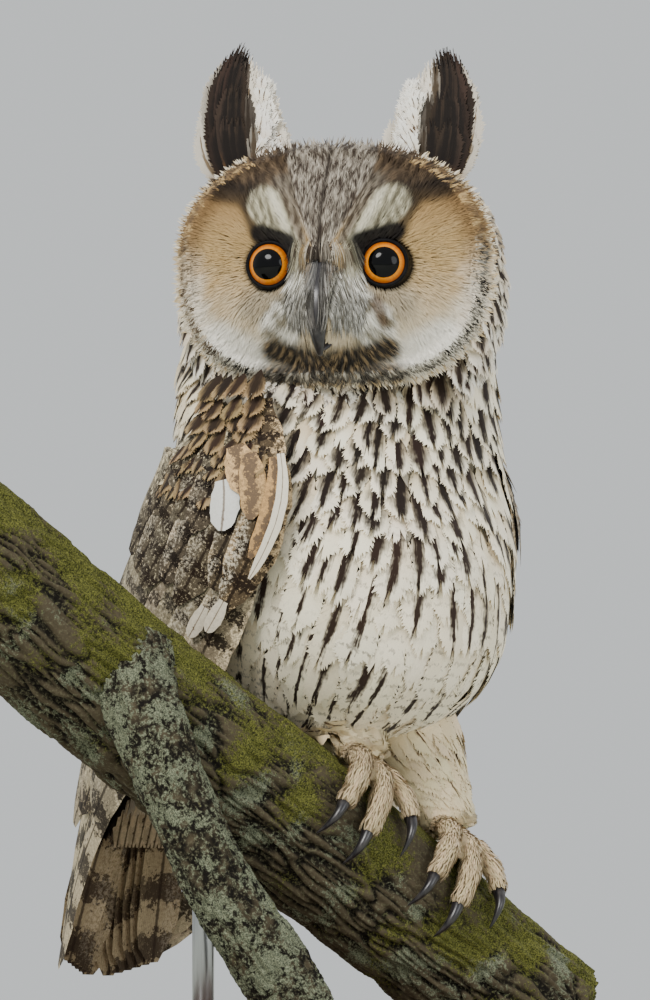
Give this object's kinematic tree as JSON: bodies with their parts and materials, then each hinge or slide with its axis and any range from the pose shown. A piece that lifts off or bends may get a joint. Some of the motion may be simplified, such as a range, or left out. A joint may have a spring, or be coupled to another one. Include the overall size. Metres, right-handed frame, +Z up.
{
  "type": "long-eared owl model",
  "caption": "Still, life-size long-eared owl gripping a cut length of mossy branch, on a round wooden display stand.",
  "frame": {"origin": "centre of the underside of the round base", "axes": "+Z up, -Y the way the owl's face looks, +X to the owl's left; the body is turned 38 degrees to its left about +Z"},
  "size_m": [0.292, 0.292, 0.412],
  "materials": {
    "face_feathers": "soft buff feathers",
    "tuft_feathers": "soft dark brown feathers with pale edges",
    "body_feathers": "soft cream feathers with dark streaks",
    "wing_feathers": "mottled brown, grey and white feathers",
    "eye": "clear wet gloss over an orange iris",
    "horn": "smooth dark horn",
    "bark": "rough bark with moss",
    "lichen_bark": "rough bark with grey-green lichen",
    "base_wood": "dark satin turned wood",
    "rod_steel": "satin"
  },
  "bodies": {
    "root": {"head": "face_feathers", "bill_upper": "horn", "bill_lower": "horn", "eye_right": "eye", "ear_tuft_right": "tuft_feathers", "eye_left": "eye", "ear_tuft_left": "tuft_feathers", "neck": "body_feathers", "torso": "body_feathers", "tail": "wing_feathers", "wing_right": "wing_feathers", "wing_left": "wing_feathers", "leg_right": "body_feathers", "foot_right": "body_feathers", "talon_right_1": "horn", "talon_right_2": "horn", "talon_right_3": "horn", "talon_right_4": "horn", "leg_left": "body_feathers", "foot_left": "body_feathers", "talon_left_1": "horn", "talon_left_2": "horn", "talon_left_3": "horn", "talon_left_4": "horn", "perch_branch": "bark", "perch_limb": "lichen_bark", "stand_base": "base_wood", "stand_rod_1": "rod_steel", "stand_rod_2": "rod_steel"}
  },
  "joints": []
}
